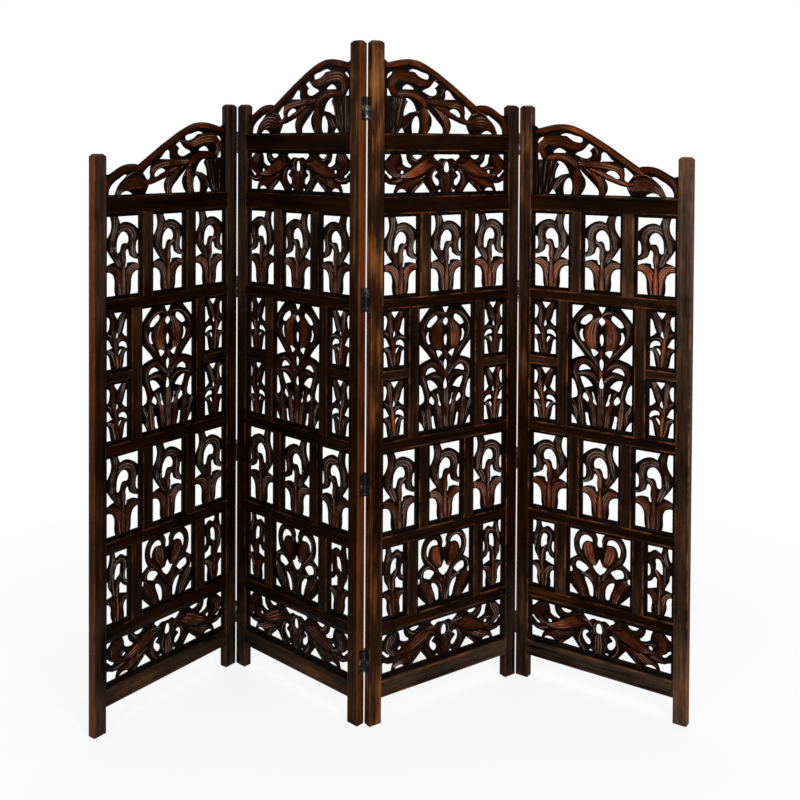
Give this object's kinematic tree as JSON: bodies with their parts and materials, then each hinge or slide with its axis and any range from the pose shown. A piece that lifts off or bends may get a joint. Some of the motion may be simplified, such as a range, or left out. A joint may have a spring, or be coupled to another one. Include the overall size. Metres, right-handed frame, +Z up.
{
  "type": "folding screen",
  "caption": "Tall folding wooden screen of hinged panels, each a stile-and-rail frame filled with pierced leaf-scroll carving under an arched, sloping crest.",
  "frame": {"origin": "on the floor, below the middle of the box round the screen as it stands open in a zigzag", "axes": "+Z up; +X from the left panel to the right one; -Y is the side from which the centre fold points away"},
  "size_m": [1.5974, 0.4258, 1.832],
  "materials": {
    "frame_wood": "dark espresso stain under satin lacquer, rubbed through to red brown on the edges",
    "carved_wood": "hand-carved, dark stain with redder high leaves, satin",
    "steel": "blackened steel, dull, worn a little at the knuckles"
  },
  "bodies": {
    "left_outer": {"left_outer_tall_stile": "frame_wood", "left_outer_short_stile": "frame_wood", "left_outer_rails": "frame_wood", "left_outer_mullions": "frame_wood", "left_outer_crest": "carved_wood", "left_outer_bottom_frieze": "carved_wood", "left_outer_heart": "carved_wood", "left_outer_narrow_sprigs": "carved_wood", "left_outer_lower_sprigs": "carved_wood", "left_outer_flower": "carved_wood", "left_outer_side_sprigs": "carved_wood", "left_outer_upper_sprigs": "carved_wood", "left_outer_hinge_leaves": "steel", "left_outer_hinge_screws": "steel"},
    "left_inner": {"left_inner_tall_stile": "frame_wood", "left_inner_short_stile": "frame_wood", "left_inner_rails": "frame_wood", "left_inner_mullions": "frame_wood", "left_inner_crest": "carved_wood", "left_inner_bottom_frieze": "carved_wood", "left_inner_heart": "carved_wood", "left_inner_narrow_sprigs": "carved_wood", "left_inner_lower_sprigs": "carved_wood", "left_inner_flower": "carved_wood", "left_inner_side_sprigs": "carved_wood", "left_inner_upper_sprigs": "carved_wood", "left_inner_top_frieze": "carved_wood", "left_inner_hinge_leaves": "steel", "left_inner_hinge_screws": "steel", "left_inner_hinge_pins": "steel"},
    "right_inner": {"right_inner_tall_stile": "frame_wood", "right_inner_short_stile": "frame_wood", "right_inner_rails": "frame_wood", "right_inner_mullions": "frame_wood", "right_inner_crest": "carved_wood", "right_inner_bottom_frieze": "carved_wood", "right_inner_heart": "carved_wood", "right_inner_narrow_sprigs": "carved_wood", "right_inner_lower_sprigs": "carved_wood", "right_inner_flower": "carved_wood", "right_inner_side_sprigs": "carved_wood", "right_inner_upper_sprigs": "carved_wood", "right_inner_top_frieze": "carved_wood", "right_inner_hinge_leaves": "steel", "right_inner_hinge_screws": "steel", "right_inner_hinge_pins": "steel"},
    "right_outer": {"right_outer_tall_stile": "frame_wood", "right_outer_short_stile": "frame_wood", "right_outer_rails": "frame_wood", "right_outer_mullions": "frame_wood", "right_outer_crest": "carved_wood", "right_outer_bottom_frieze": "carved_wood", "right_outer_heart": "carved_wood", "right_outer_narrow_sprigs": "carved_wood", "right_outer_lower_sprigs": "carved_wood", "right_outer_flower": "carved_wood", "right_outer_side_sprigs": "carved_wood", "right_outer_upper_sprigs": "carved_wood", "right_outer_hinge_leaves": "steel", "right_outer_hinge_screws": "steel"}
  },
  "joints": [
    {"name": "left_fold", "type": "hinge", "parent": "left_inner", "child": "left_outer", "pos_m": [-0.4706, 0.19422, 0], "axis": [0, 0, 1], "range_deg": [-96, 84]},
    {"name": "centre_fold", "type": "hinge", "parent": "left_inner", "child": "right_inner", "pos_m": [-0.07818, -0.13452, 0], "axis": [0, 0, 1], "range_deg": [-77, 103]},
    {"name": "right_fold", "type": "hinge", "parent": "right_inner", "child": "right_outer", "pos_m": [0.36083, 0.12879, 0], "axis": [0, 0, 1], "range_deg": [-112, 68]}
  ]
}
